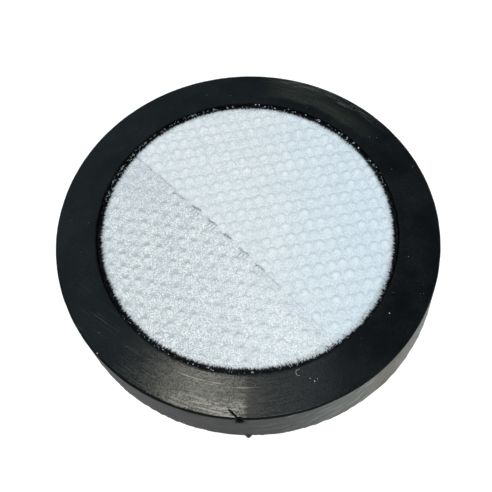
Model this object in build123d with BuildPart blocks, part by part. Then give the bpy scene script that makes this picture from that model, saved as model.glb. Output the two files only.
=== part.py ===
"""Round vacuum filter: a rubber frame cast round a white filter pad, with an embossed cloth laid over part of it."""

import os
from math import ceil

from build123d import *

os.makedirs("parts", exist_ok=True)

# Rubber frame, a flared ring whose flat upper face seals against its housing
bore_radius = 39.5
face_width = 10.5  # flat upper face, from the bore to the wall
wall_flare = 1.2  # the wall widens by this much from the face down to the foot
frame_height = 15.0
groove_depth = 2.7  # how far the groove for the pad's rim bites into the ring
lip_thickness = 3.5  # each of the two lips that close the groove above and below
face_bevel = 0.6  # softened outer corner of the sealing face
foot_bevel = 0.4

# Filter pad, a thick felt disc with a pressed rim that sits in the groove
pad_gap = 0.2  # round the pad's edges, which the rubber holds above and below
pad_recess = 0.9  # the pad's upper face below the sealing face
under_recess = 0.6  # the pad's lower face above the foot
soaked_band = 1.0  # plain rim where the rubber has soaked into the cloth

# Domes pressed up out of the pad's upper face, in rows that are each shifted a little along the last
pad_dome_radius = 1.4
pad_dome_height = 0.5
pad_dome_pitch = 3.41
pad_dome_row_gap = 3.28
pad_dome_row_shift = -1.23
pad_dome_turn = -12.5
pad_dome_start = (1.52, 2.23)

# Cover cloth, cut off straight along a line that crosses the pad beside its axis
cloth_thickness = 0.3
lap_offset = 6.0  # how far the cloth reaches past the axis
lap_turn = 40.5  # direction that the cloth lies in, seen from the cut edge

# Domes pressed up out of the cover cloth, in rows that run another way
cover_dome_radius = 1.45
cover_dome_height = 0.5
cover_dome_pitch = 3.15
cover_dome_row_gap = 3.19
cover_dome_row_shift = -0.67
cover_dome_turn = 7.2
cover_dome_start = (-0.22, 0.44)

dome_sides = 6  # flat sides of a dome

# Levels and radii that the pieces share
face_radius = bore_radius + face_width
foot_radius = face_radius + wall_flare
pad_level = frame_height - pad_recess
cloth_level = pad_level + cloth_thickness
groove_roof = frame_height - lip_thickness
groove_radius = bore_radius + groove_depth
pad_radius = bore_radius - pad_gap
rim_radius = groove_radius - pad_gap
emboss_radius = pad_radius - soaked_band
lap_direction = Vector(1, 0).rotate(Axis.Z, lap_turn)


def past_lap(point):
    """Distance of a point past the cloth's cut edge, positive on the covered side."""
    return point.dot(lap_direction) + lap_offset


def pressed_rows(start, pitch, row_gap, row_shift, turn, level, reach):
    """Points of a pressed pattern on a level, row by row, out to a radius."""
    count = ceil(2 * reach / min(pitch, row_gap))
    steps = range(-count, count + 1)
    points = [
        Vector(*start, 0) + Vector(column * pitch + row * row_shift, row * row_gap).rotate(Axis.Z, turn)
        for row in steps
        for column in steps
    ]
    return [point + Vector(0, 0, level) for point in points if point.length <= reach]


def pressed_dome(radius, height, turn):
    """One faceted dome of the pressed pattern."""
    with BuildPart() as dome:
        with BuildSketch() as base:
            RegularPolygon(radius, dome_sides, rotation=turn)
        loft([base.sketch, Vertex(0, 0, height)], ruled=True)
    return dome.part


# Rubber frame, one C-shaped section turned about the axis
with BuildPart() as rubber_frame:
    with BuildSketch(Plane.XZ) as section:
        with BuildLine():
            Polyline(
                (bore_radius, 0),
                (foot_radius, 0),
                (face_radius, frame_height),
                (bore_radius, frame_height),
                (bore_radius, groove_roof),
                (groove_radius, groove_roof),
                (groove_radius, lip_thickness),
                (bore_radius, lip_thickness),
                close=True,
            )
        make_face()
        face_corner = section.vertices().group_by(Axis.Y)[-1].sort_by(Axis.X)[-1]
        chamfer(face_corner, length=face_bevel)
        foot_corner = section.vertices().group_by(Axis.Y)[0].sort_by(Axis.X)[-1]
        chamfer(foot_corner, length=foot_bevel)
    revolve(axis=Axis.Z)

# Filter pad, its upper face pressed with domes where the cloth leaves it open
pad_dome = pressed_dome(pad_dome_radius, pad_dome_height, pad_dome_turn)
pad_rows = pressed_rows(
    pad_dome_start,
    pad_dome_pitch,
    pad_dome_row_gap,
    pad_dome_row_shift,
    pad_dome_turn,
    pad_level,
    emboss_radius - pad_dome_radius,
)
open_rows = [point for point in pad_rows if past_lap(point) <= -pad_dome_radius]
with BuildPart() as filter_pad:
    with BuildSketch(Plane.XY.offset(under_recess)):
        Circle(pad_radius)
    extrude(amount=pad_level - under_recess)
    with BuildSketch(Plane.XY.offset(lip_thickness)):
        Circle(rim_radius)
    extrude(amount=groove_roof - lip_thickness)
    with Locations(*open_rows):
        add(pad_dome)

# Cover cloth, embossed first and then cut through domes and all
cover_dome = pressed_dome(cover_dome_radius, cover_dome_height, cover_dome_turn)
cover_rows = pressed_rows(
    cover_dome_start,
    cover_dome_pitch,
    cover_dome_row_gap,
    cover_dome_row_shift,
    cover_dome_turn,
    cloth_level,
    emboss_radius - cover_dome_radius,
)
cloth_rows = [point for point in cover_rows if past_lap(point) >= -cover_dome_radius]
with BuildPart() as cover_cloth:
    with BuildSketch(Plane.XY.offset(pad_level)):
        Circle(pad_radius)
    extrude(amount=cloth_thickness)
    with Locations(*cloth_rows):
        add(cover_dome)
    cut_edge = Plane(origin=lap_direction * -lap_offset, z_dir=lap_direction)
    split(bisect_by=cut_edge, keep=Keep.TOP)

for name, piece in (
    ("rubber_frame", rubber_frame),
    ("filter_pad", filter_pad),
    ("cover_cloth", cover_cloth),
):
    piece.part.label = name
    export_step(piece.part, f"parts/{name}.step")
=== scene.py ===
# %% [markdown]
# A round vacuum filter: a black rubber ring, cast round a white felt pad, with a second embossed cloth over
# part of it. The engineering solids are loaded first and stay where they are. Every piece below is modelled
# over them in metres, so a size in millimetres is multiplied by MM.

# %% Load the solids
import random
from math import atan2, ceil, cos, exp, floor, hypot, pi, radians, sin

import bmesh
import bpy
from mathutils import Matrix, Vector, noise


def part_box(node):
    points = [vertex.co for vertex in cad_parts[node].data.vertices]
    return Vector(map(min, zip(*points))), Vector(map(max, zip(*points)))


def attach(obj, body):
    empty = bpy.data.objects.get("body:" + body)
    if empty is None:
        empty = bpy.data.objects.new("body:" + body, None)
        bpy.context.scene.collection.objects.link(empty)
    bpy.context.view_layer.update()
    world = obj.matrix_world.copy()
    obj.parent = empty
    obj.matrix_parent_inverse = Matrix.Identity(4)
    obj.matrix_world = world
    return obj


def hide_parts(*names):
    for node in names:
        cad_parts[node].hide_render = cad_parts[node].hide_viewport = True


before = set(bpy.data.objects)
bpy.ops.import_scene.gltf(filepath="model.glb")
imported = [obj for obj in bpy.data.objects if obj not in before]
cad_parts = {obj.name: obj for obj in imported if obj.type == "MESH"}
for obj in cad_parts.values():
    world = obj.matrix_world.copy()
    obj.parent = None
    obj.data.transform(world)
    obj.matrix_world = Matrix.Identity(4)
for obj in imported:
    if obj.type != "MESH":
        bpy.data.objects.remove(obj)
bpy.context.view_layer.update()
MM = 0.001
ring_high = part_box("rubber_frame")[1]
pad_low, pad_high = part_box("filter_pad")

# %% [markdown]
# The camera comes first. It was fitted to the ring's circles: 62 degrees above the table, about three ring
# radii away, with a lens a little longer than normal. It is turned a few degrees about its own axes, as a
# camera held by hand is.

# %% Camera
face_height = ring_high.z
eye_height = 142.2 * MM
eye_back = 75.6 * MM
camera_data = bpy.data.cameras.new("camera")
camera_data.sensor_width = 36.0
camera_data.lens = 45.02
camera_data.clip_start = 0.01
camera = bpy.data.objects.new("camera", camera_data)
bpy.context.scene.collection.objects.link(camera)
camera.matrix_world = (
    Matrix.Translation((0, -eye_back, face_height + eye_height))
    @ Matrix.Rotation(radians(28.0), 4, "X")
    @ Matrix.Rotation(radians(0.17), 4, "Y")
    @ Matrix.Rotation(radians(-2.02), 4, "X")
    @ Matrix.Rotation(radians(-3.41), 4, "Z")
)
bpy.context.scene.camera = camera
print("camera stands", round(camera.location.length / MM), "mm from the filter's foot")

# %% [markdown]
# Three small helpers serve all pieces. The first turns a bmesh into an object that rides on the filter, the
# second rounds a step from 0 to 1, and the third gives a soft random value at a place, which never changes
# between runs.

# %% Helpers for meshes
def finish_piece(bm, name, material, node=None, crease=40):
    """Makes a smooth-shaded object of a bmesh, which may stand for one of the solids."""
    mesh = bpy.data.meshes.new(name)
    for face in bm.faces:
        face.smooth = True
    bm.to_mesh(mesh)
    bm.free()
    mesh.set_sharp_from_angle(angle=radians(crease))
    mesh.materials.append(material)
    piece = bpy.data.objects.new(name, mesh)
    bpy.context.scene.collection.objects.link(piece)
    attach(piece, "root")
    if node:
        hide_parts(node)
    print(name, "has", sum(len(face.vertices) - 2 for face in mesh.polygons), "triangles")
    return piece


def ease(value, low, high):
    """A soft step: 0 below low, 1 above high."""
    share = min(max((value - low) / (high - low), 0.0), 1.0)
    return share * share * (3 - 2 * share)


def wander(place, size, seed=0.0):
    """A soft random value between about -1 and 1, with lumps of a given size."""
    return noise.noise(Vector(place) / size + Vector((seed, seed, seed)))


# %% [markdown]
# Materials are node trees. These helpers add a node or a few, so that a finish reads as a short list of
# steps: where on the piece, which pattern, which colour.

# %% Helpers for materials
def node(tree, kind, plugs=None, **settings):
    """Adds a shader node. Each plug is a socket to link or a constant to set."""
    made = tree.nodes.new("ShaderNode" + kind)
    for name, value in settings.items():
        setattr(made, name, value)
    for name, source in (plugs or {}).items():
        if isinstance(source, bpy.types.NodeSocket):
            tree.links.new(source, made.inputs[name])
        else:
            made.inputs[name].default_value = source
    return made


def number(tree, operation, first, second=0.0, clamp=False):
    """One calculation with two numbers."""
    return node(tree, "Math", {0: first, 1: second}, operation=operation, use_clamp=clamp).outputs[0]


def grain(tree, vector, size, detail=2.0, roughness=0.5):
    """Cloudy grain with lumps of a size in metres."""
    plugs = {"Vector": vector, "Scale": 1 / size, "Detail": detail, "Roughness": roughness}
    return node(tree, "TexNoise", plugs).outputs[0]


def soft_step(tree, value, low, high, to_low=0.0, to_high=1.0):
    """Maps a value to a range with a soft start and end."""
    plugs = {"Value": value, "From Min": low, "From Max": high, "To Min": to_low, "To Max": to_high}
    return node(tree, "MapRange", plugs, interpolation_type="SMOOTHSTEP").outputs[0]


def blend_colour(tree, share, first, second):
    """Mixes two colours."""
    return node(tree, "Mix", {0: share, 6: first, 7: second}, data_type="RGBA").outputs[2]


def paint(red, green, blue):
    """A colour with its alpha."""
    return (red, green, blue, 1.0)


def stretch(tree, vector, scale, turn=0.0):
    """Turns a pattern about the axis and draws it out: each scale says how many times longer it gets."""
    plugs = {"Vector": vector, "Scale": scale, "Rotation": (0, 0, radians(turn))}
    return node(tree, "Mapping", plugs, vector_type="TEXTURE").outputs[0]


def start_material(name):
    """A new material with its shader and the places on the piece that its patterns read."""
    material = bpy.data.materials.new(name)
    material.use_nodes = True
    tree = material.node_tree
    place = node(tree, "TexCoord").outputs["Object"]
    return material, tree, tree.nodes["Principled BSDF"], place


def round_places(tree, place):
    """Distance from the axis, angle from the front, and height."""
    x, y, z = node(tree, "SeparateXYZ", {0: place}).outputs
    flat = node(tree, "CombineXYZ", {0: x, 1: y}).outputs[0]
    away = node(tree, "VectorMath", {0: flat}, operation="LENGTH").outputs["Value"]
    angle = number(tree, "ARCTAN2", x, number(tree, "MULTIPLY", y, -1.0))
    return away, angle, z


def product(tree, first, *others):
    """Several numbers multiplied."""
    for other in others:
        first = number(tree, "MULTIPLY", first, other)
    return first


def sector(tree, angle, rise, fall, strength=1.0):
    """A sector round the axis. Its rise and its fall each start and end at an angle in degrees."""
    risen = soft_step(tree, angle, radians(rise[0]), radians(rise[1]))
    return product(tree, risen, soft_step(tree, angle, radians(fall[0]), radians(fall[1]), 0.0, strength))


# %% [markdown]
# Cast rubber is nearly black and takes its look from gloss. The sealing face is smooth and faintly mottled.
# At the front left it is worn, and its colour there carries a painted olive sheen, fainter to the right. A
# paler rubbed patch near the edge and two long scratches are scuffs, painted partly as highlights, and fine
# hairlines cross it. At the rear right a paler patch with lighter specks is a painted reflection. All of
# these are placed by angle and by distance from the axis, and broken up by grain, so that none has a clean
# border.

# %% Rubber: sealing face
def face_finish(tree, place, away, angle, level_part, fine, cloud, arcs):
    """Colour of the sealing face with its painted sheen, and where it is scuffed and where the painted
    reflection lies.
    """
    rub_grain = number(tree, "ADD", product(tree, fine, 0.5), arcs)
    rub_spots = soft_step(tree, rub_grain, 0.62, 0.92)
    near_edge = soft_step(tree, away, 45.2 * MM, 47.0 * MM)
    # The rubbed patch and the two scratches are scuffs, painted pale partly as a painted highlight.
    scuff_and_highlight = product(tree, sector(tree, angle, (-30, -14), (-2.5, -5)), near_edge, rub_spots, level_part)
    for radius, width, low, high in ((42.2, 0.18, -27, -5), (42.8, 0.10, -22, 2)):
        off_line = number(tree, "ABSOLUTE", number(tree, "SUBTRACT", away, radius * MM))
        scratch = soft_step(tree, off_line, width * MM, 0.4 * width * MM)
        scratch = product(tree, scratch, sector(tree, angle, (low, low + 6), (high, high - 6)), rub_spots)
        scuff_and_highlight = number(tree, "MAXIMUM", scuff_and_highlight, scratch)

    # At the rear right the face is painted a paler olive, a painted reflection, lighter in specks near its
    # outer edge.
    reflection_patch = sector(tree, angle, (120, 142), (174, 160))
    reflection_edge = number(tree, "ADD", away, product(tree, cloud, 4 * MM))
    reflection_specks = product(tree, reflection_patch, soft_step(tree, reflection_edge, 49.2 * MM, 50.0 * MM),
                    soft_step(tree, rub_grain, 0.72, 0.90))
    reflection_end = number(tree, "MAXIMUM", soft_step(tree, angle, radians(138), radians(156)),
                      soft_step(tree, reflection_edge, 49.5 * MM, 46.5 * MM))
    reflection_patch = product(tree, reflection_patch, soft_step(tree, reflection_edge, 43.6 * MM, 45.0 * MM), reflection_end,
                   soft_step(tree, arcs, 0.3, 0.6, 0.45, 1.1))

    mottle = number(tree, "ADD", product(tree, cloud, 0.5), product(tree, fine, 0.5))
    tone = blend_colour(tree, soft_step(tree, mottle, 0.36, 0.64), paint(0.0012, 0.0020, 0.0026),
                        paint(0.0075, 0.0092, 0.0100))
    # The front left is painted olive grey as a painted sheen over some wear, and a fainter painted sheen runs
    # to its right.
    faint_sheen = sector(tree, angle, (-5, -3), (18, 2), 0.28)
    wear_and_sheen = number(tree, "ADD", sector(tree, angle, (-52, -12), (-2, -4.5)), faint_sheen)
    sheen_grain = soft_step(tree, number(tree, "ADD", fine, arcs), 0.88, 1.14, 0.0, 0.75)
    tone = blend_colour(tree, product(tree, wear_and_sheen, level_part, sheen_grain), tone, paint(0.103, 0.106, 0.088))
    hairlines = grain(tree, stretch(tree, place, (26, 1, 1), -38), 0.45 * MM, 2.0, 0.5)
    hairlines = product(tree, soft_step(tree, hairlines, 0.60, 0.70), soft_step(tree, cloud, 0.42, 0.60),
                        sector(tree, angle, (-85, -55), (-15, -40), 0.25))
    tone = blend_colour(tree, hairlines, tone, paint(0.10, 0.105, 0.10))
    tone = blend_colour(tree, reflection_patch, tone, paint(0.019, 0.023, 0.018))
    tone = blend_colour(tree, reflection_specks, tone, paint(0.07, 0.075, 0.07))
    tone = blend_colour(tree, product(tree, scuff_and_highlight, 0.7), tone, paint(0.50, 0.475, 0.41))
    return tone, scuff_and_highlight, reflection_patch


# %% [markdown]
# The wall came out of the mould with slanting drag marks. It is unrolled to a flat strip, so that a
# stretched noise can run along it. Its right side is paler and greyer, with short pale scores and a brown
# stain, and the paler tone fades out round the back.

# %% Rubber: wall
def wall_finish(tree, angle, unrolled):
    """Colour of the wall, where it is paler, and the streaks that its relief follows."""
    drag = grain(tree, stretch(tree, unrolled, (22, 1, 1), 26), 0.50 * MM, 3.0, 0.55)
    broad = grain(tree, stretch(tree, unrolled, (6, 1, 1), 30), 2.4 * MM, 2.0, 0.5)
    streaks = number(tree, "ADD", product(tree, drag, 0.75), product(tree, broad, 0.25))
    paler_side = sector(tree, angle, (-10, 44), (130, 62))
    browner = soft_step(tree, angle, radians(18), radians(42))
    paler_tone = blend_colour(tree, browner, paint(0.160, 0.188, 0.169), paint(0.140, 0.147, 0.123))
    light = blend_colour(tree, paler_side, paint(0.022, 0.024, 0.021), paler_tone)
    dark = blend_colour(tree, paler_side, paint(0.006, 0.0065, 0.006), paint(0.085, 0.094, 0.085))
    tone = blend_colour(tree, soft_step(tree, streaks, 0.42, 0.58), dark, light)
    scored = grain(tree, stretch(tree, unrolled, (9, 1, 1), 27), 0.62 * MM, 1.0, 0.5)
    scored = product(tree, soft_step(tree, scored, 0.58, 0.68, 0.0, 0.7), paler_side)
    tone = blend_colour(tree, scored, tone, paint(0.48, 0.51, 0.48))
    stain_grain = soft_step(tree, broad, 0.38, 0.60, 0.35, 0.9)
    stain = product(tree, sector(tree, angle, (29, 40), (51, 40)), stain_grain)
    return blend_colour(tree, stain, tone, paint(0.085, 0.068, 0.044)), paler_side, streaks


# %% [markdown]
# One material holds both. It tells the wall from the face by how far the surface has turned from upright,
# and low down by its height. The edges between them are matt and mirror little, so that they stay dark
# lines, and so is the nick, which the mesh marks as cut.

# %% Rubber: zones, gloss and relief
def make_rubber():
    """The ring's rubber, with the finish of its face and of its wall."""
    material, tree, shader, place = start_material("cast_rubber")
    away, angle, level = round_places(tree, place)
    normal = node(tree, "NewGeometry").outputs["Normal"]
    upright = node(tree, "SeparateXYZ", {0: normal}).outputs[2]
    turned = soft_step(tree, upright, 0.40, 0.18)
    wall = number(tree, "MAXIMUM", turned, soft_step(tree, level, 13 * MM, 12 * MM))
    wall = product(tree, wall, soft_step(tree, away, 43 * MM, 46 * MM))
    level_part = soft_step(tree, upright, 0.96, 0.995)
    edge_part = number(tree, "SUBTRACT", number(tree, "SUBTRACT", 1.0, level_part), wall, clamp=True)

    around = product(tree, angle, 50 * MM)
    unrolled = node(tree, "CombineXYZ", {0: around, 1: level}).outputs[0]
    ringwise = node(tree, "CombineXYZ", {0: around, 1: product(tree, away, 14.0)}).outputs[0]
    arcs = grain(tree, ringwise, 6 * MM, 4.0, 0.65)
    fine = grain(tree, place, 0.42 * MM, 3.0, 0.7)
    cloud = grain(tree, place, 9 * MM, 3.0, 0.6)
    dust = soft_step(tree, grain(tree, place, 0.55 * MM, 2.0, 0.7), 0.70, 0.78)

    face_tone, scuff_and_highlight, reflection_patch = face_finish(tree, place, away, angle, level_part, fine, cloud, arcs)
    wall_tone, paler_side, streaks = wall_finish(tree, angle, unrolled)
    tone = blend_colour(tree, wall, face_tone, wall_tone)
    tone = blend_colour(tree, product(tree, dust, 0.10), tone, paint(0.30, 0.32, 0.32))
    # The nick is painted nearly black: a painted shade in the cut.
    cut = node(tree, "Attribute", attribute_name="cut").outputs["Fac"]
    tone = blend_colour(tree, cut, tone, paint(0.001, 0.001, 0.001))
    tree.links.new(tone, shader.inputs["Base Color"])
    mirrored = blend_colour(tree, product(tree, wall, paler_side), paint(1, 1, 1), paint(0.2, 0.2, 0.2))
    mirrored = blend_colour(tree, number(tree, "MAXIMUM", cut, edge_part), mirrored, paint(0.1, 0.1, 0.1))
    tree.links.new(mirrored, shader.inputs["Specular Tint"])

    gloss = soft_step(tree, fine, 0.32, 0.68, 0.16, 0.05)
    wall_gloss = soft_step(tree, paler_side, 0.0, 1.0, 0.54, 0.40)
    for part, rougher in ((scuff_and_highlight, 0.25), (reflection_patch, 0.20), (cut, 0.6), (edge_part, 0.55), (wall, wall_gloss)):
        gloss = number(tree, "ADD", gloss, product(tree, part, rougher))
    tree.links.new(gloss, shader.inputs["Roughness"])
    shader.inputs["Specular IOR Level"].default_value = 0.25

    relief = number(tree, "ADD", product(tree, fine, 0.22), product(tree, arcs, 0.25))
    relief = number(tree, "ADD", relief, product(tree, streaks, wall, 1.2))
    bump = node(tree, "Bump", {"Strength": 0.5, "Distance": 0.10 * MM, "Height": relief})
    tree.links.new(bump.outputs[0], shader.inputs["Normal"])
    return material


rubber = make_rubber()
print("rubber has", len(rubber.node_tree.nodes), "nodes")

# %% [markdown]
# The ring was cast in a mould, so its section is the same all the way round: a C that grips the pad's rim.
# The section is drawn once with rounded corners and spun about the axis. The foot then leans a little to
# one side, as the soft ring does in the photograph, while its face and bore stay where the solids have
# them.

# %% Ring: section and spin
height = ring_high.z
rim_radius = pad_high.x
bore_radius = rim_radius - 2.5 * MM
groove_radius = rim_radius + 0.2 * MM
face_radius = bore_radius + 10.5 * MM
foot_radius = face_radius + 1.2 * MM
lip = 3.5 * MM
foot_lean = 0.83 * MM
spin_steps = 384


def spin_section(corners, rounding, cuts, steps):
    """Spins a closed section about the axis. Corners may be rounded and sides cut into short lengths."""
    bm = bmesh.new()
    points = [bm.verts.new((radius, 0, level)) for radius, level in corners]
    sides = [bm.edges.new((point, points[index - 1])) for index, point in enumerate(points)]
    bm.faces.new(points)
    for side, count in cuts.items():
        bmesh.ops.subdivide_edges(bm, edges=[sides[side]], cuts=count)
    for corner, size in rounding.items():
        place = Vector((corners[corner][0], 0, corners[corner][1]))
        point = min(bm.verts, key=lambda vert: (vert.co - place).length)
        bmesh.ops.bevel(bm, geom=[point], offset=size, segments=5, profile=0.5, affect="VERTICES",
                        material=-1)
    bmesh.ops.delete(bm, geom=bm.faces[:], context="FACES_ONLY")
    bmesh.ops.spin(bm, geom=bm.verts[:] + bm.edges[:], cent=(0, 0, 0), axis=(0, 0, 1),
                   angle=2 * pi, steps=steps, use_merge=True)
    bmesh.ops.remove_doubles(bm, verts=bm.verts[:], dist=0.001 * MM)
    bmesh.ops.recalc_face_normals(bm, faces=bm.faces[:])
    return bm


ring_corners = [
    (bore_radius, 0),
    (foot_radius, 0),
    (face_radius, height),
    (bore_radius, height),
    (bore_radius, height - lip),
    (groove_radius, height - lip),
    (groove_radius, lip),
    (bore_radius, lip),
]
ring = spin_section(
    ring_corners,
    rounding={1: 0.35 * MM, 2: 0.6 * MM, 3: 0.25 * MM},
    cuts={1: 4, 2: 14, 3: 13},
    steps=spin_steps,
)
print("ring spun into", len(ring.faces), "faces")

# %% [markdown]
# Wear is modelled where it changes the outline. A small nick runs out over the front edge of the face and
# ends in a hole, and a crumb of flash stands on the foot below it. The mesh is made finer there first, so
# that the cut has enough points to be sharp. How deep a point is cut is kept with the mesh for the rubber's
# finish.

# %% Ring: lean, nick and rough foot
nick_start = Vector((-6.5, -47.4, 0)) * MM
nick_end = Vector((-4.3, -49.9, 0)) * MM
crumb = Vector((-3.4, -51.1, 0)) * MM


def nick_distance(point):
    """Distance from the nick's line, seen from above, and how far along it."""
    line = nick_end - nick_start
    flat = Vector((point.x, point.y, 0))
    along = min(max((flat - nick_start).dot(line) / line.length_squared, 0), 1)
    return (flat - nick_start - line * along).length, along


def is_worn(middle):
    """Whether a face lies close to the nick or to the crumb."""
    near_nick = middle.z > height - 2.5 * MM and nick_distance(middle)[0] < 1.2 * MM
    return near_nick or (middle - crumb).length < 1.8 * MM


worn_faces = [face for face in ring.faces if is_worn(face.calc_center_median())]
worn_edges = list({edge for face in worn_faces for edge in face.edges})
bmesh.ops.subdivide_edges(ring, edges=worn_edges, cuts=4, use_grid_fill=True)
cut_layer = ring.verts.layers.float.new("cut")
for point in ring.verts:
    place = point.co.copy()
    away = hypot(place.x, place.y)
    out = Vector((place.x, place.y, 0)) / away
    outer = ease(away, 42.5 * MM, 49.5 * MM)
    if away > 45 * MM and place.z < height - 0.2 * MM:
        point.co += out * 0.05 * MM * wander(place, 3 * MM)
    if place.z < 0.8 * MM and away > 50 * MM:
        point.co += out * 0.16 * MM * wander(place, 0.9 * MM, 7.0)
    gap, along = nick_distance(place)
    if place.z > height - 2.2 * MM and gap < 0.5 * MM and away > 45 * MM:
        point[cut_layer] = 1 - ease(gap, 0.05 * MM, (0.13 + 0.07 * along) * MM)
        point.co.z -= (0.25 + 0.3 * along) * MM * point[cut_layer]
    hole = hypot((place.x - nick_end.x) / 1.7, place.y - nick_end.y)
    if place.z > height - 2.2 * MM and hole < 0.9 * MM:
        sunk = 1 - ease(hole, 0.3 * MM, 0.75 * MM)
        point[cut_layer] = max(point[cut_layer], sunk)
        point.co -= (out * 0.5 + Vector((0, 0, 0.5))) * MM * sunk
    point.co += out * 0.7 * MM * (1 - ease((place - crumb).length, 0.1 * MM, 1.1 * MM))
    point.co.x += foot_lean * (1 - place.z / height) * outer
finish_piece(ring, "rubber_ring", rubber, "rubber_frame")

# %% [markdown]
# Both cloths are white nonwoven: fibres laid at random and pressed hot between patterned rollers. Under a
# lens they are a mat of short bright threads with small dark gaps and glints, and the glints are painted
# highlights. Behind each dome, where the felt is pressed, it is painted greyer as painted shade, and each cap
# is painted brighter as a painted highlight. The mesh marks those places, a faint tint and the dark slits as
# attributes; beside the cut edge the tint is a painted bluish shade, and the slits are painted shade with
# some dirt. Towards the right the cover is painted bluer, a painted skylight, and the pad is paler and bluer.
# Close to the ring the felt is painted greyer, a painted shade under the lip, and then comes a dark ragged
# band where the liquid rubber has soaked in, painted black also as shade. It follows the ring because it
# reads the distance from the axis, and it is narrower at the front right.

# %% Felt
def make_felt(name, light, shade, bonded_shade_tone, depth, contrast, grey_side, cool):
    """White felt with its threads and painted glints, painted shade and highlights at the domes, and a dark
    rim that is partly painted shade.
    """
    material, tree, shader, place = start_material(name)
    away, angle = round_places(tree, place)[:2]
    rightward = product(tree, away, number(tree, "SINE", angle))

    threads = None
    for turn in (8, 67, 131):
        layer = grain(tree, stretch(tree, place, (6, 1, 1), turn), 0.17 * MM, 2.0, 0.5)
        threads = layer if threads is None else number(tree, "MAXIMUM", threads, layer)
    fine = grain(tree, place, 0.33 * MM, 2.0, 0.6)
    glint = soft_step(tree, grain(tree, place, 0.30 * MM, 1.0, 0.5), 0.56, 0.70)
    patch = grain(tree, place, 4.5 * MM, 2.0, 0.5)
    mat = number(tree, "ADD", product(tree, threads, 0.45), product(tree, fine, 0.9))

    # Towards the right each felt is mixed with a cooler tone: on the cover a painted bluish skylight, on the
    # pad a paler, bluer side.
    cool_share, cool_from, cool_to, cool_tone = cool
    cool_part = soft_step(tree, rightward, cool_from * MM, cool_to * MM, 0.0, cool_share)
    bright = paint(0.93, 0.98, 1.0)
    marks = {}
    for mark in ("tinted", "bonded_shade", "cap_highlight", "slit"):
        marks[mark] = node(tree, "Attribute", attribute_name=mark).outputs["Fac"]
    tone = blend_colour(tree, soft_step(tree, mat, 0.72 - contrast, 0.72 + contrast), shade, light)
    tone = blend_colour(tree, soft_step(tree, patch, 0.40, 0.75, 0.0, 0.22), tone, shade)
    tone = blend_colour(tree, soft_step(tree, rightward, 8 * MM, -34 * MM, 0.0, grey_side), tone, shade)
    tone = blend_colour(tree, cool_part, tone, cool_tone)
    tone = blend_colour(tree, marks["tinted"], tone, paint(0.46, 0.51, 0.68))
    # The glints are painted highlights.
    tone = blend_colour(tree, product(tree, glint, 0.55), tone, bright)
    # Behind each dome the felt is painted greyer: painted shade where the felt is also pressed.
    tone = blend_colour(tree, marks["bonded_shade"], tone, bonded_shade_tone)
    # Each dome's cap is painted brighter: a painted highlight.
    tone = blend_colour(tree, marks["cap_highlight"], tone, bright)

    flat = node(tree, "VectorMath", {0: place, 1: (1, 1, 0)}, operation="MULTIPLY").outputs[0]
    direction = node(tree, "VectorMath", {0: flat}, operation="NORMALIZE").outputs[0]
    rim_places = node(tree, "VectorMath", {0: direction, 3: 39 * MM}, operation="SCALE").outputs[0]
    spikes = grain(tree, rim_places, 0.45 * MM, 4.0, 0.75)
    ragged = number(tree, "ADD", away, product(tree, number(tree, "SUBTRACT", spikes, 0.5), 2.6 * MM))
    ragged = number(tree, "ADD", ragged, product(tree, number(tree, "SUBTRACT", fine, 0.5), 1.2 * MM))
    ragged = number(tree, "SUBTRACT", ragged, sector(tree, angle, (2, 22), (78, 55), 0.6 * MM))
    soaked = soft_step(tree, ragged, 37.9 * MM, 38.4 * MM)
    # Near the ring the felt is painted greyer, more at the sides: a painted shade under the ring's lip.
    beside = soft_step(tree, number(tree, "ABSOLUTE", angle), radians(30), radians(75), 0.4, 1.0)
    lip_shade = product(tree, beside, soft_step(tree, away, 36.8 * MM, 38.6 * MM, 0.0, 0.6))
    tone = blend_colour(tree, lip_shade, tone, paint(0.16, 0.18, 0.20))
    # The soaked band is painted black, darker than the rubber: soaked rubber and a painted shade under the
    # lip.
    tone = blend_colour(tree, soaked, tone, paint(0.003, 0.004, 0.005))
    # The slits, the holes and the ladder creases are painted dark: painted shade with some dirt.
    tone = blend_colour(tree, marks["slit"], tone, paint(0.035, 0.048, 0.068))
    tree.links.new(tone, shader.inputs["Base Color"])
    mirrored = blend_colour(tree, soaked, paint(1, 1, 1), paint(0.15, 0.15, 0.15))
    tree.links.new(mirrored, shader.inputs["Specular Tint"])
    tree.links.new(soft_step(tree, soaked, 0.2, 0.9, 0.85, 0.45), shader.inputs["Roughness"])
    shader.inputs["Specular IOR Level"].default_value = 0.25
    shader.inputs["Sheen Weight"].default_value = 0.02
    shader.inputs["Sheen Roughness"].default_value = 0.5
    bump = node(tree, "Bump", {"Strength": depth, "Distance": 0.10 * MM, "Height": mat})
    tree.links.new(bump.outputs[0], shader.inputs["Normal"])
    return material


pad_felt = make_felt(
    "pad_felt",
    light=paint(0.99, 1.0, 1.0),
    shade=paint(0.47, 0.535, 0.57),
    bonded_shade_tone=paint(0.46, 0.51, 0.52),
    depth=1.0,
    contrast=0.08,
    grey_side=0.12,
    cool=(0.30, -22, 12, paint(0.86, 0.96, 1.0)),
)
cover_felt = make_felt(
    "cover_felt",
    light=paint(0.90, 0.935, 0.945),
    shade=paint(0.58, 0.655, 0.70),
    bonded_shade_tone=paint(0.60, 0.68, 0.72),
    depth=0.7,
    contrast=0.14,
    grey_side=0.0,
    cool=(0.31, -5, 36, paint(0.50, 0.70, 0.90)),
)
print("felts made:", pad_felt.name, cover_felt.name)

# %% [markdown]
# The pressed pattern is a lattice: two steps repeated over the cloth. For any point, the four lattice places
# round it are compared, and the distance from the nearest says how high the dome is there. Each place gets
# its own small error, as soft cloth never copies the roller exactly.

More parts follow.
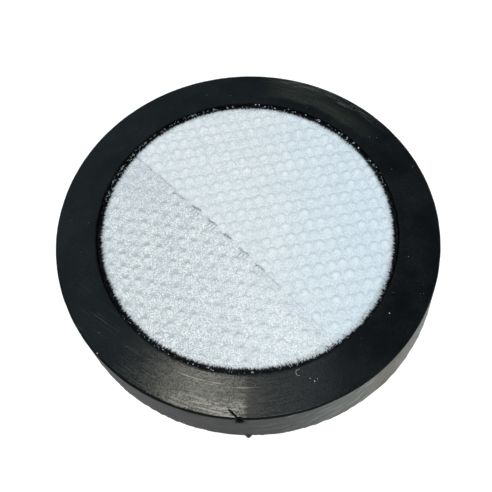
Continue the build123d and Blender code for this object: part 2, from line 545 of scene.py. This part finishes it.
# %% Pressed lattice
class Lattice:
    """Places repeated along two steps, which are given in millimetres."""

    def __init__(self, start, pitch, row_gap, row_shift, turn):
        self.start = Vector(start) * MM
        self.along = Vector((cos(radians(turn)), sin(radians(turn)))) * pitch * MM
        row = Vector((row_shift, row_gap)) * MM
        self.row = Vector((row.x * cos(radians(turn)) - row.y * sin(radians(turn)),
                           row.x * sin(radians(turn)) + row.y * cos(radians(turn))))
        self.area = self.along.x * self.row.y - self.along.y * self.row.x

    def nearest(self, x, y):
        """Offset from the nearest place, and a fixed random number of that place."""
        point = Vector((x, y)) - self.start
        column = (point.x * self.row.y - point.y * self.row.x) / self.area
        line = (self.along.x * point.y - self.along.y * point.x) / self.area
        best = (Vector((1.0, 0.0)), 0.0)
        for i in (floor(column), ceil(column)):
            for j in (floor(line), ceil(line)):
                chance = noise.cell(Vector((i + 0.5, j + 0.5, 0.5)))
                shift = Vector((noise.cell(Vector((i + 0.5, j + 0.5, 7.5))), chance)) * 0.24 * MM
                offset = point - self.along * i - self.row * j - shift
                if offset.length < best[0].length:
                    best = (offset, chance)
        return best


def crease_behind(offset, radius, width, reach):
    """How deep in the crease round the back of a dome a point lies, from 0 to 1."""
    gap = max(offset.length, 1e-6)
    return max(0.0, 1 - ((gap - radius) / width) ** 2) * ease(offset.y / gap, *reach)


pad_domes = Lattice(start=(1.52, 2.23), pitch=3.41, row_gap=3.28, row_shift=-1.23, turn=-12.5)
cover_domes = Lattice(start=(-0.22, 0.44), pitch=3.15, row_gap=3.19, row_shift=-0.67, turn=7.2)
print("domes every", [round(lattice.along.length / MM, 2) for lattice in (pad_domes, cover_domes)], "mm")

# %% [markdown]
# The cover's cut edge crosses the pad in a line that bows a little. It is welded down in short squares, so
# the edge steps: for about half of each step it draws back and leaves a dark slit, and then it comes
# forward again. The steps fade out towards both ends. Both cloths need to know that edge, so it is one
# function of the distance along it.

# %% The cut edge
lap_turn = radians(40.5)
lap_across = Vector((cos(lap_turn), sin(lap_turn), 0))
lap_along = Vector((sin(lap_turn), -cos(lap_turn), 0))
step_length = 6.02 * MM
slit_length = 3.1 * MM
first_slit = -14.66 * MM
slit_count = 6
clear_ladders = (0, 1, 3)  # steps whose ladder of creases shows well


def slit_run(along):
    """How far a place is past the start of its step, and how strong the steps are there."""
    step = (along - first_slit) / step_length
    fade = ease(along, 6 * MM, 25 * MM) if along > 0 else ease(-along, 16 * MM, 24 * MM)
    return (step - floor(step)) * step_length, 1 - fade


def cut_edge(along):
    """Where the cut edge stands across the lap, in metres, and how open it is there."""
    bow = 1.3 if along < 0 else 0.7
    stand = (-5.75 - bow * (along / (36 * MM)) ** 2) * MM
    stand += 0.12 * MM * wander((along, 0, 0), 0.9 * MM, 3.0)
    stand -= 0.7 * MM * ease(-along, 16.4 * MM, 17.2 * MM) * ease(along, -22 * MM, -21 * MM)
    run, strength = slit_run(along)
    thin = ease(-along, 15.5 * MM, 17 * MM) * ease(wander((along, 0, 0), 1.4 * MM, 9.0), -0.4, 0.3)
    thin *= 0.5 if along > -22 * MM else 0.3
    if run < slit_length:
        return stand + strength * (-0.3 + 0.6 * run / slit_length) * MM, max(strength, thin)
    back = (run - slit_length) / (step_length - slit_length)
    return stand + strength * (0.3 - 0.6 * back) * MM, thin


def lap_grid(across_places, along_places):
    """A flat grid laid out across and along the lap, from lists of places."""
    bm = bmesh.new()
    columns = len(across_places) - 1
    rows = len(along_places) - 1
    bmesh.ops.create_grid(bm, x_segments=columns, y_segments=rows, size=1.0)
    for point in bm.verts:
        across = across_places[round((point.co.x + 1) / 2 * columns)]
        along = along_places[round((point.co.y + 1) / 2 * rows)]
        point.co = lap_across * across + lap_along * along
    return bm


def even(low, high, step):
    """Places from low to high, about a step apart."""
    count = max(round((high - low) / step), 1)
    return [low + (high - low) * index / count for index in range(count + 1)]


def trim_round(bm, radius, keep=None):
    """Cuts a grid to a circle and draws its edge out to that circle."""
    outside = [point for point in bm.verts if hypot(point.co.x, point.co.y) > radius]
    bmesh.ops.delete(bm, geom=outside, context="VERTS")
    for point in bm.verts:
        if point.is_boundary and not (keep and keep(point)):
            point.co *= radius / hypot(point.co.x, point.co.y)


print("cut edge at the middle:", round(cut_edge(0)[0] / MM, 2), "mm from the axis")

# %% [markdown]
# The pad is a thick felt disc. Its upper face is a fine grid, because the domes are real: the rows are
# close where the pad is open and wide where the cover hides it. The grid's edge is then extruded down, out
# into the ring's groove and back in, and the underside is closed in rings.

# %% Pad
pad_radius = bore_radius - 0.2 * MM
pad_level = height - 0.9 * MM
pad_under = pad_low.z
fine_step = 0.22 * MM
hidden_from = -4.0 * MM


def slit_mark(across, along):
    """How dark a point beside the cut edge is painted as shade with dirt: small holes in a row, and a ladder
    of creases below a slit.
    """
    edge, opening = cut_edge(along)
    depth = edge - across
    holes = 0.5 + 0.5 * cos(2 * pi * (along - first_slit) / (0.85 * MM))
    mark = opening * holes * (1 - ease(abs(depth - 0.06 * MM), 0.03 * MM, 0.22 * MM))
    run, strength = slit_run(along)
    if 0 < depth < 2.4 * MM and run < slit_length + 0.3 * MM:
        off_rung = min(abs(run - share * slit_length) for share in (0.40, 0.70, 1.0))
        rungs = (1 - ease(off_rung, 0.04 * MM, 0.24 * MM)) * (1 - ease(depth, 1.5 * MM, 2.1 * MM))
        rail = (1 - ease(abs(depth - 1.9 * MM), 0.05 * MM, 0.26 * MM)) * ease(run, 0.8 * MM, 1.4 * MM)
        if floor((along - first_slit) / step_length) not in clear_ladders:
            strength *= 0.35
        mark = max(mark, 0.4 * strength * rungs, 0.22 * strength * rail)
    return mark


def pad_surface(x, y):
    """Height of the pad's upper face, its painted shade behind the domes, and its painted highlight on the
    caps.
    """
    away = hypot(x, y)
    offset, chance = pad_domes.nearest(x, y)
    press = (0.85 + 0.3 * chance) * (1 - ease(away, 36.5 * MM, 38.5 * MM))
    press *= 0.4 + 0.6 * ease(-lap_across.dot(Vector((x, y, 0))), 6.2 * MM, 7.6 * MM)
    press *= 0.4 + 0.6 * ease(hypot(x + 28 * MM, y - 15 * MM), 5 * MM, 10 * MM)
    clear = 1 - 0.60 * ease(x - y, -15 * MM, 20 * MM)
    crease = press * crease_behind(offset, 1.2 * MM, 0.50 * MM, (0.35, 0.80))
    # The patch behind each dome is painted shade, and the spot on its cap a painted highlight.
    behind = hypot(offset.x / 1.05, (offset.y - 1.45 * MM) / 0.85)
    behind += 0.28 * MM * wander((x, y, 0), 0.7 * MM, 8.0)
    patch = press * (1 - ease(behind, 0.55 * MM, 1.05 * MM))
    cap_highlight = press * clear * exp(-((offset - Vector((0.45, -0.1)) * MM).length / (0.65 * MM)) ** 2)
    rise = 0.46 * MM * press * max(0.0, 1 - (offset.length / (1.5 * MM)) ** 2.4) - 0.35 * MM * crease
    lumps = 0.07 * MM * wander((x, y, 0), 0.6 * MM) + 0.10 * MM * wander((x, y, 0), 6 * MM, 2.0)
    level = pad_level + rise + lumps - 0.25 * MM * ease(away, 38.2 * MM, 39.2 * MM)
    return level, 0.86 * clear * patch, (0.34 + 0.24 * chance) * cap_highlight


def float_layers(bm, *names):
    """Values kept with each point, which a material can read by name."""
    return [bm.verts.layers.float.new(name) for name in names]


across_places = even(-pad_radius, hidden_from, fine_step) + even(hidden_from, pad_radius, 1.5 * MM)[1:]
pad = lap_grid(across_places, even(-pad_radius, pad_radius, fine_step))
trim_round(pad, pad_radius)
slit_layer, bonded_shade_layer, cap_highlight_layer, tinted_layer = float_layers(pad, "slit", "bonded_shade", "cap_highlight", "tinted")
tint_middle = Vector((-27, 14.5, 0)) * MM
for point in pad.verts:
    across = point.co.dot(lap_across)
    along = point.co.dot(lap_along)
    if across < hidden_from + 1 * MM:
        mark = slit_mark(across, along)
        level, point[bonded_shade_layer], point[cap_highlight_layer] = pad_surface(point.co.x, point.co.y)
        point[slit_layer] = mark
        # Beside the cut edge the pad is tinted bluish as a painted shade; round tint_middle it has a faint
        # lavender tint.
        near_edge = ease(across, -11.5 * MM, -7 * MM) * ease(along, 4 * MM, 14 * MM)
        tinted = max(near_edge, 1 - ease((point.co - tint_middle).length, 2 * MM, 13 * MM))
        point[tinted_layer] = 0.16 * tinted * (1 + 0.8 * wander(point.co, 3 * MM, 12.0))
        point.co.z = level - 0.5 * MM * mark
    else:
        point.co.z = pad_level - 0.2 * MM
top_faces = len(pad.faces)
print("pad's upper face:", top_faces, "faces")

# %% Pad: edge, rim and underside
def next_loop(bm, edges, radius, level):
    """Extrudes an open edge loop to another radius and level, and returns the new loop."""
    made = bmesh.ops.extrude_edge_only(bm, edges=edges)["geom"]
    for point in (item for item in made if isinstance(item, bmesh.types.BMVert)):
        away = hypot(point.co.x, point.co.y)
        point.co = Vector((point.co.x / away * radius, point.co.y / away * radius, level))
    return [item for item in made if isinstance(item, bmesh.types.BMEdge)]


loop = [edge for edge in pad.edges if edge.is_boundary]
for radius, level in (
    (pad_radius, height - lip),
    (rim_radius, height - lip),
    (rim_radius, lip),
    (pad_radius, lip),
    (pad_radius, pad_under + 0.5 * MM),
    (pad_radius - 0.5 * MM, pad_under),
):
    loop = next_loop(pad, loop, radius, level)
for radius in even(pad_radius - 2 * MM, 1.5 * MM, -2.5 * MM):
    loop = next_loop(pad, loop, radius, pad_under)
centre = list({point for edge in loop for point in edge.verts})
bmesh.ops.pointmerge(pad, verts=centre, merge_co=(0, 0, pad_under))
for point in pad.verts:
    if point.co.z < pad_under + 0.01 * MM:
        point.co.z += 0.15 * MM * (1 + wander(point.co, 5 * MM, 4.0))
bmesh.ops.recalc_face_normals(pad, faces=pad.faces[:])
filter_pad = finish_piece(pad, "felt_pad", pad_felt, "filter_pad", crease=60)

# %% [markdown]
# The cover is a thin cloth with domes pressed up out of it. It is a grid from its cut edge to the ring,
# raised by the same lattice rule, and given its thickness with solidify, so that the underside follows the
# domes as in real embossed cloth.

# %% Cover cloth
cloth_radius = pad_radius - 0.05 * MM
cloth_level = pad_level + 0.3 * MM
cloth_thickness = 0.22 * MM
cut_low = -5.4 * MM


def cover_surface(x, y):
    """Height of the cover's upper face, its painted shade in the creases behind the domes, and its painted
    highlight on the caps.
    """
    away = hypot(x, y)
    offset, chance = cover_domes.nearest(x, y)
    press = (0.9 + 0.2 * chance) * (1 - ease(away, 37.2 * MM, 38.6 * MM))
    # The crease behind each dome is painted greyer as shade, and the cap brighter as a highlight.
    crease = press * crease_behind(offset, 1.42 * MM, 0.36 * MM, (-0.1, 0.7))
    cap_highlight = press * exp(-(offset.length / (0.8 * MM)) ** 2)
    lean = 1 + 0.4 * offset.y / (1.55 * MM)
    rise = 0.44 * MM * press * lean * max(0.0, 1 - (offset.length / (1.55 * MM)) ** 2.4) - 0.12 * MM * crease
    lumps = 0.03 * MM * wander((x, y, 0), 0.8 * MM, 5.0) + 0.06 * MM * wander((x, y, 0), 7 * MM, 6.0)
    level = cloth_level + rise + lumps - 0.15 * MM * ease(away, 38.2 * MM, 39.2 * MM)
    return level, 0.33 * crease, (0.33 + 0.20 * chance) * cap_highlight


cover = lap_grid(even(cut_low, cloth_radius, 0.25 * MM), even(-cloth_radius, cloth_radius, 0.25 * MM))
trim_round(cover, cloth_radius, keep=lambda point: point.co.dot(lap_across) < cut_low + 0.01 * MM)
slit_layer, bonded_shade_layer, cap_highlight_layer = float_layers(cover, "slit", "bonded_shade", "cap_highlight")
for point in cover.verts:
    across = point.co.dot(lap_across)
    along = point.co.dot(lap_along)
    edge, opening = cut_edge(along)
    behind = across - cut_low
    point.co += lap_across * (edge - cut_low) * exp(-behind / (0.6 * MM))
    hang = exp(-behind / (1.2 * MM))
    level, point[bonded_shade_layer], point[cap_highlight_layer] = cover_surface(point.co.x, point.co.y)
    point.co.z = level - hang * (0.02 if opening else 0.14) * MM
    # Right at an open slit the cover's edge is painted dark too: painted shade in the slit.
    point[slit_layer] = 0.5 * opening * (behind < 0.05 * MM)
bmesh.ops.recalc_face_normals(cover, faces=cover.faces[:])
if cover.faces[0].normal.z < 0:
    bmesh.ops.reverse_faces(cover, faces=cover.faces[:])
bmesh.ops.solidify(cover, geom=cover.faces[:], thickness=cloth_thickness)
cover_levels = [point.co.z / MM for point in cover.verts]
print("cover from", round(min(cover_levels), 2), "to", round(max(cover_levels), 2), "mm")
cover_cloth = finish_piece(cover, "embossed_cover", cover_felt, "cover_cloth", crease=60)

# %% [markdown]
# Loose ends make the edges read as cloth. At each slit a few threads lie over the open pad. Short fibres
# stand between felt and rubber, blackened ones all round the rim and white ones along its rear half. Each
# is a thin three-sided cone. The white ones and the later specks share a plain pale finish of their own,
# which also serves the pale grains that are painted glints.

# %% Loose fibres
def lay_fibre(bm, start, end, thick):
    """A thin tapering fibre between two points."""
    line = end - start
    turn = line.to_track_quat("Z", "Y").to_matrix().to_4x4()
    place = Matrix.Translation((start + end) / 2) @ turn
    bmesh.ops.create_cone(bm, cap_ends=True, segments=3, radius1=thick, radius2=thick * 0.4,
                          depth=line.length, matrix=place)


pale_lint_and_glints, lint_tree, lint_shader, lint_place = start_material("pale_lint_and_glints")
lint_tone = blend_colour(lint_tree, grain(lint_tree, lint_place, 0.5 * MM), paint(0.55, 0.60, 0.62),
                         paint(0.85, 0.90, 0.92))
lint_tree.links.new(lint_tone, lint_shader.inputs["Base Color"])
lint_shader.inputs["Roughness"].default_value = 0.6

random.seed(11)
weld_threads = bmesh.new()
for index in range(slit_count):
    for share in (0.42, 0.62, 0.80, 0.95):
        along = first_slit + index * step_length + slit_length * (share + random.uniform(-0.05, 0.05))
        edge = cut_edge(along)[0]
        start = lap_across * (edge + 0.2 * MM) + lap_along * along
        end = start - lap_across * random.uniform(1.2, 2.3) * MM
        end += lap_along * random.uniform(-0.25, 0.25) * MM
        start.z = pad_level + 0.16 * MM
        end.z = pad_surface(end.x, end.y)[0] + 0.05 * MM
        lay_fibre(weld_threads, start, end, 0.05 * MM)
finish_piece(weld_threads, "weld_threads", cover_felt)

fibre_materials = {"white": pale_lint_and_glints, "black": rubber}
for tone, count, slot in (("white", 70, "pad_felt"), ("black", 800, "rubber")):
    fibres = bmesh.new()
    for index in range(count):
        angle = random.uniform(0, 2 * pi) if tone == "black" else radians(random.uniform(15, 165))
        root = random.uniform(37.9, 39.0) if tone == "white" else random.uniform(38.3, 39.3)
        reach = random.uniform(0.2, 0.8) * (1 if tone == "white" else -1.4)
        skew = angle + random.uniform(-0.025, 0.025)
        level = pad_level + random.uniform(0.15, 0.35) * MM
        start = Vector((cos(angle) * root * MM, sin(angle) * root * MM, level - 0.15 * MM))
        tip = min(root + reach, 39.35)
        end = Vector((cos(skew) * tip * MM, sin(skew) * tip * MM, level + random.uniform(0.05, 0.35) * MM))
        lay_fibre(fibres, start, end, random.uniform(0.04, 0.08) * MM)
    finish_piece(fibres, "rim_fibres_" + tone, fibre_materials[tone])

# %% [markdown]
# Where the rubber squeezed through the cloth it left small glossy beads in the corner between pad and ring.
# They catch the light as bright points, most of them at the rear right. Two dark crumbs lie on the open
# felt.

# %% Rubber beads
bead_rubber, bead_tree, bead_shader, bead_place = start_material("bead_rubber")
bead_tone = blend_colour(bead_tree, grain(bead_tree, bead_place, 0.6 * MM), paint(0.006, 0.008, 0.009),
                         paint(0.02, 0.023, 0.025))
bead_tree.links.new(bead_tone, bead_shader.inputs["Base Color"])
bead_shader.inputs["Roughness"].default_value = 0.12
beads = bmesh.new()
for index in range(210):
    crowded = index < 90
    angle = radians(random.uniform(5, 95)) if crowded else random.uniform(0, 2 * pi)
    size = random.uniform(0.12, 0.34 if crowded else 0.26) * MM
    away = random.uniform(38.7, 39.4) * MM - size * 0.5
    place = Vector((cos(angle) * away, sin(angle) * away, pad_level + 0.1 * MM))
    squash = Matrix.Diagonal((1, 1, random.uniform(0.6, 0.9), 1))
    bmesh.ops.create_uvsphere(beads, u_segments=6, v_segments=4, radius=size,
                              matrix=Matrix.Translation(place) @ squash)
for x, y in ((8.0, -32.3), (-19.6, -13.5)):
    place = Vector((x * MM, y * MM, pad_surface(x * MM, y * MM)[0] + 0.05 * MM))
    bmesh.ops.create_uvsphere(beads, u_segments=6, v_segments=4, radius=0.14 * MM,
                              matrix=Matrix.Translation(place))
finish_piece(beads, "rubber_beads", bead_rubber)

# %% [markdown]
# Pale specks finish the rim and the face. Along the lip, pale grains stand for bright glints and are
# painted highlights, and at the rear left torn fibre ends are caught in the rubber. On the sealing face lie
# dust and lint, and three grains at the front left edge are painted glints too. A few lie at places read
# from the photograph, the others are scattered.

# %% Specks and lint
specks = bmesh.new()


def drop_speck(bm, angle, away, level, size):
    """A small pale grain at an angle and distance from the axis."""
    place = Vector((cos(angle) * away, sin(angle) * away, level))
    bmesh.ops.create_icosphere(bm, subdivisions=1, radius=size, matrix=Matrix.Translation(place))


# These pale grains along the lip stand for bright glints: painted highlights.
for low, high, count, largest in (
    (14, 84, 34, 0.22),
    (100, 165, 14, 0.12),
    (215, 285, 40, 0.14),
    (285, 372, 8, 0.10),
):
    for index in range(count):
        angle = radians(random.uniform(low, high))
        drop_speck(specks, angle, random.uniform(38.9, 39.4) * MM, height - random.uniform(0.15, 0.6) * MM,
                   random.uniform(0.05, largest) * MM)
for index in range(48):
    angle = radians(random.uniform(98, 168))
    onward = angle + random.uniform(-0.022, 0.022)
    low, high = random.uniform(38.7, 39.3) * MM, random.uniform(38.7, 39.4) * MM
    start = Vector((cos(angle) * low, sin(angle) * low, height - random.uniform(0.1, 0.6) * MM))
    end = Vector((cos(onward) * high, sin(onward) * high, height - random.uniform(0.05, 0.5) * MM))
    lay_fibre(specks, start, end, random.uniform(0.03, 0.07) * MM)
for index in range(30):
    away = random.uniform(40.5, 49.6) * MM
    drop_speck(specks, random.uniform(0, 2 * pi), away, height + 0.01 * MM, random.uniform(0.03, 0.07) * MM)
# The three grains at the front left edge stand for glints too: painted highlights.
for x, y, size in ((33.3, -26.7, 0.16), (-41.6, -27.6, 0.12), (-37.4, -32.4, 0.14), (-36.8, -35.0, 0.10),
                   (13.6, -42.1, 0.16), (14.3, -41.6, 0.10), (12.6, -41.4, 0.08)):
    drop_speck(specks, atan2(y, x), hypot(x, y) * MM, height + 0.01 * MM, size * MM)
for index in range(9):
    turn = radians(60 + 24 * index)
    bend = 0.75 + random.uniform(-0.18, 0.18)
    curl = Vector((10.2 + bend * cos(turn), -39.9 + bend * sin(turn), height / MM)) * MM
    onward = Vector((10.2 + 0.75 * cos(turn + 0.42), -39.9 + 0.75 * sin(turn + 0.42), height / MM)) * MM
    lay_fibre(specks, curl, onward, random.uniform(0.03, 0.13) * MM)
finish_piece(specks, "pale_specks", pale_lint_and_glints)

# %% [markdown]
# The stage is a pale floor that curves up far away, so that no hard horizon shows from the side. Seen by the
# camera and in reflections it is lifted to white, while the light that it gives back to the filter stays
# that of plain pale paper, and the filter's shadow stays on it.

# %% Floor
floor_material, floor_tree, floor_shader, floor_place = start_material("pale_floor")
floor_tone = blend_colour(floor_tree, grain(floor_tree, floor_place, 0.3), paint(0.80, 0.80, 0.80),
                          paint(0.84, 0.84, 0.84))
floor_tree.links.new(floor_tone, floor_shader.inputs["Base Color"])
floor_shader.inputs["Roughness"].default_value = 0.9
rays = node(floor_tree, "LightPath").outputs
seen = number(floor_tree, "MAXIMUM", rays["Is Camera Ray"], rays["Is Glossy Ray"])
seen = number(floor_tree, "MAXIMUM", seen, rays["Is Transmission Ray"])
floor_shader.inputs["Emission Color"].default_value = paint(1, 1, 1)
floor_tree.links.new(number(floor_tree, "MULTIPLY", seen, 0.42), floor_shader.inputs["Emission Strength"])

stage = bmesh.new()
edge_points = [stage.verts.new((radius, 0, level)) for radius, level in ((0.0, 0.0), (1.6, 0.0), (1.6, 0.9))]
for first, second in zip(edge_points, edge_points[1:]):
    stage.edges.new((first, second))
bmesh.ops.bevel(stage, geom=[edge_points[1]], offset=0.6, segments=12, profile=0.5, affect="VERTICES",
                material=-1)
bmesh.ops.spin(stage, geom=stage.verts[:] + stage.edges[:], cent=(0, 0, 0), axis=(0, 0, 1),
               angle=2 * pi, steps=64, use_merge=True)
bmesh.ops.remove_doubles(stage, verts=stage.verts[:], dist=0.01 * MM)
bmesh.ops.recalc_face_normals(stage, faces=stage.faces[:])
for face in stage.faces:
    face.smooth = True
floor_mesh = bpy.data.meshes.new("pale_floor")
stage.to_mesh(floor_mesh)
stage.free()
floor_mesh.materials.append(floor_material)
floor_object = bpy.data.objects.new("pale_floor", floor_mesh)
bpy.context.scene.collection.objects.link(floor_object)

# %% [markdown]
# The light is soft and comes from high up in front, so that each dome is bright towards the camera and
# shaded behind. A bluish sky fills the shadows. A small warm panel overhead is placed where the front left
# of the sealing face mirrors it, which gives the satin sheen there, and a weaker, cooler one beside it does
# the same to its right.

# %% Light
scene = bpy.context.scene
scene.view_settings.view_transform = "Standard"
world = bpy.data.worlds.new("soft_sky")
scene.world = world
world.use_nodes = True
sky_tree = world.node_tree
sky = sky_tree.nodes["Background"]
sky.inputs["Color"].default_value = paint(0.72, 0.93, 1.08)
sky_places = node(sky_tree, "SeparateXYZ", {0: node(sky_tree, "TexCoord").outputs["Generated"]}).outputs
sky_side = soft_step(sky_tree, sky_places[0], -0.45, 0.40, 0.64, 0.15)
sky_back = soft_step(sky_tree, sky_places[1], -0.25, 0.10, 0.15, 1.0)
sky_tree.links.new(number(sky_tree, "MULTIPLY", sky_side, sky_back), sky.inputs["Strength"])


def hang_panel(name, place, aim, size, power, colour):
    """A rectangular light that faces a point."""
    data = bpy.data.lights.new(name, "AREA")
    data.shape = "RECTANGLE"
    data.size, data.size_y = size
    data.energy = power
    data.color = colour
    panel = bpy.data.objects.new(name, data)
    scene.collection.objects.link(panel)
    panel.location = place
    panel.rotation_euler = (Vector(aim) - Vector(place)).to_track_quat("-Z", "Y").to_euler()
    print(name, "hangs", round((Vector(aim) - Vector(place)).length, 2), "m away")


hang_panel("key_panel", (0.06, -0.36, 1.00), (0, 0, 0), (0.40, 0.40), 8.1, (1.0, 0.98, 0.95))
hang_panel("sheen_panel", (-0.063, 0.092, 0.615), (-0.01, -0.044, 0.015), (0.085, 0.10), 0.215,
           (0.98, 0.96, 0.85))
hang_panel("side_panel", (0.055, 0.095, 0.615), (0.010, -0.042, 0.015), (0.06, 0.11), 0.030,
           (0.90, 0.97, 1.0))
